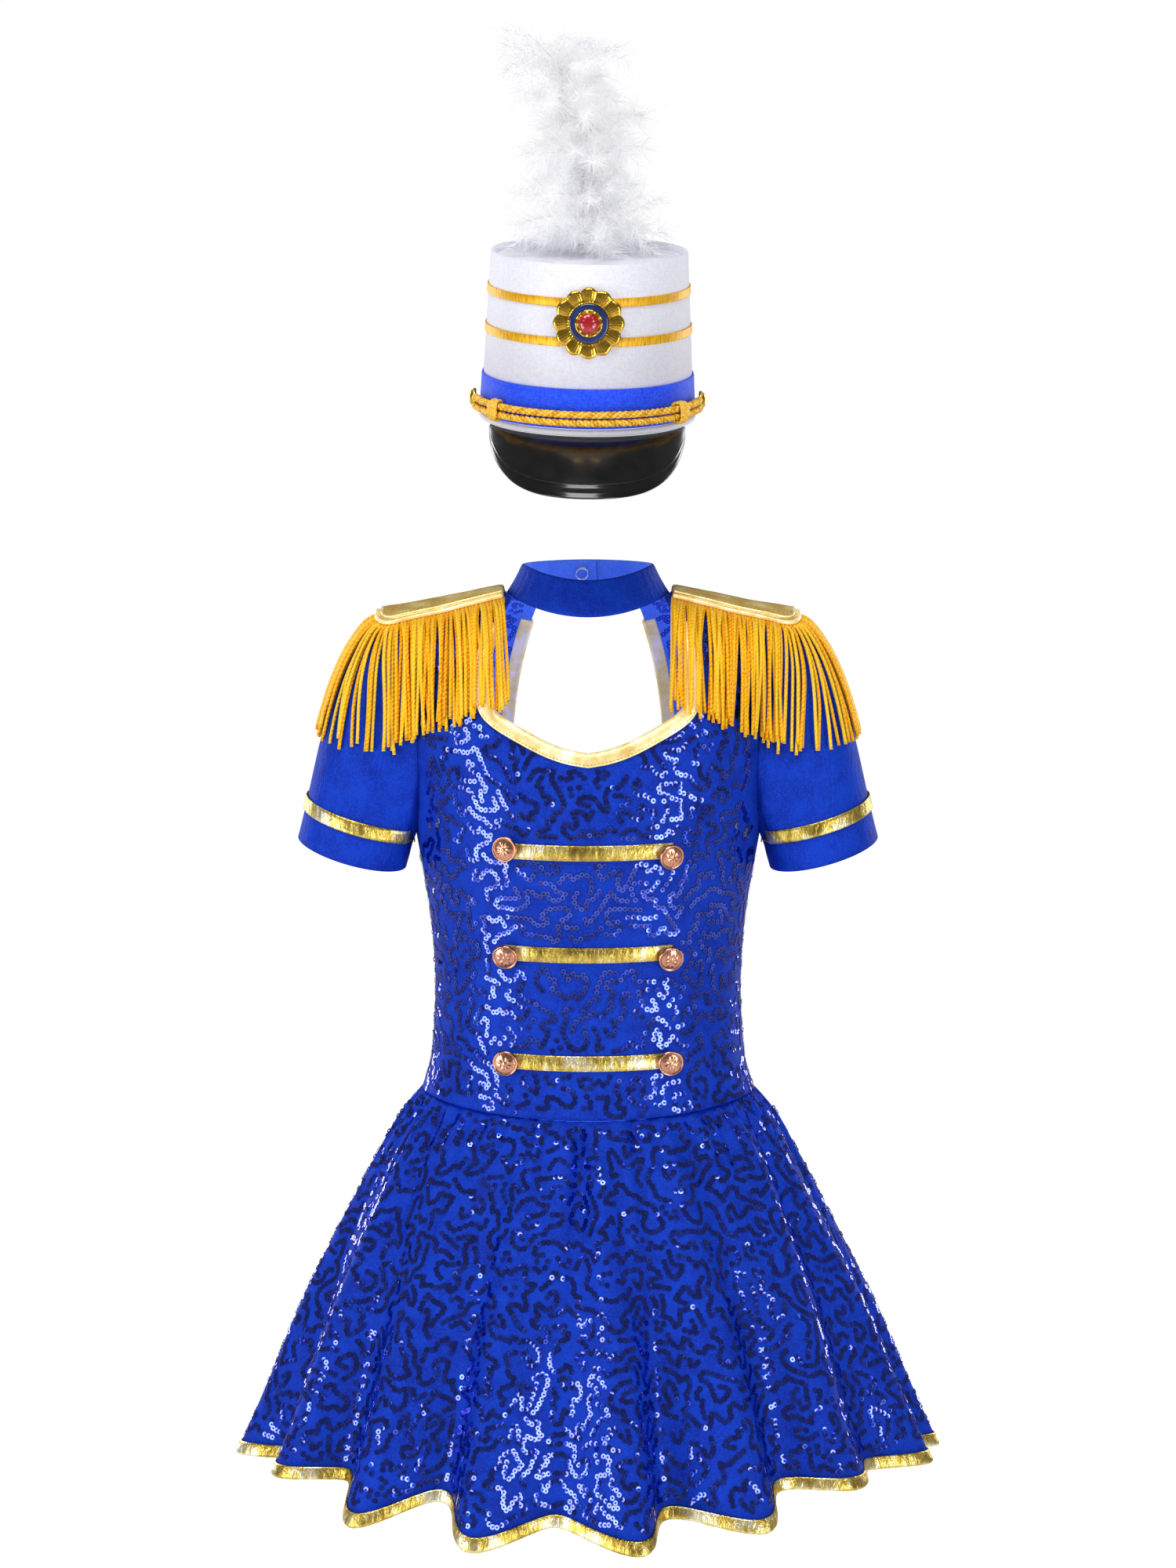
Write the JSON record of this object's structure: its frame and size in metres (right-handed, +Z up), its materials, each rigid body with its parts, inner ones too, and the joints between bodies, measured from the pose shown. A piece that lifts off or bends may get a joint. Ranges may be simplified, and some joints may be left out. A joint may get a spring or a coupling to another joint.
{
  "type": "majorette costume",
  "caption": "Majorette costume in its worn, hollow shape: sequinned skater dress with fringed epaulettes and an open neckline, and a tall plumed cap with a peak.",
  "frame": {"origin": "middle of the neck's base, in the plane of the side seams", "axes": "+Z up, -Y out of the front, +X to the right of someone who looks at the front"},
  "size_m": [0.508, 0.4069, 1.0499],
  "materials": {
    "sequinned_cloth": "royal blue stretch knit with dark blue cup sequins sewn in wandering lines",
    "plain_cloth": "royal blue matt stretch knit",
    "foil_tape": "yellow gold foil tape, lightly crinkled",
    "pale_foil_binding": "pale gold foil binding, top stitched",
    "board_lame": "champagne gold foil cloth over padding",
    "fringe_cord": "golden yellow twisted rayon cord",
    "button_metal": "rose gold plated, cast relief",
    "snap_steel": "bright nickel",
    "cap_cloth": "white smooth cloth over card",
    "cap_band_cloth": "royal blue smooth cloth",
    "cap_ribbon": "gold metallic ribbon",
    "cap_braid": "gold twisted cord",
    "cap_brass": "polished brass",
    "peak_plastic": "black, high gloss",
    "plume_down": "white marabou down",
    "enamel": "navy enamel",
    "stone": "red domed stone"
  },
  "bodies": {
    "root": {"bodice_front": "sequinned_cloth", "bodice_back": "sequinned_cloth", "skirt_front": "sequinned_cloth", "skirt_back": "sequinned_cloth", "front_opening_binding": "pale_foil_binding", "back_opening_binding": "pale_foil_binding", "collar_band": "plain_cloth", "sleeve_left": "plain_cloth", "sleeve_right": "plain_cloth", "hem_tape_front": "foil_tape", "hem_tape_back": "foil_tape", "gold_bar_top": "foil_tape", "gold_bar_middle": "foil_tape", "gold_bar_bottom": "foil_tape", "sleeve_tape_left": "foil_tape", "sleeve_tape_right": "foil_tape", "collar_snap_inner": "snap_steel", "collar_snap_outer": "snap_steel", "button_top_left": "button_metal", "button_top_right": "button_metal", "button_middle_left": "button_metal", "button_middle_right": "button_metal", "button_bottom_left": "button_metal", "button_bottom_right": "button_metal", "epaulette_board_left": "board_lame", "epaulette_board_right": "board_lame", "epaulette_piping_left": "board_lame", "epaulette_piping_right": "board_lame", "epaulette_fringe_left": "fringe_cord", "epaulette_fringe_right": "fringe_cord", "cap_crown": "cap_cloth", "cap_top": "cap_cloth", "cap_edge": "cap_cloth", "cap_band": "cap_band_cloth", "cap_ribbon_lower": "cap_ribbon", "cap_ribbon_upper": "cap_ribbon", "cap_peak": "peak_plastic", "braid_cord_upper": "cap_braid", "braid_cord_lower": "cap_braid", "braid_slide_left": "cap_braid", "braid_slide_right": "cap_braid", "cap_button_left": "cap_brass", "cap_button_right": "cap_brass", "badge_rosette": "cap_brass", "badge_enamel": "enamel", "badge_stone": "stone", "plume": "plume_down"}
  },
  "joints": []
}
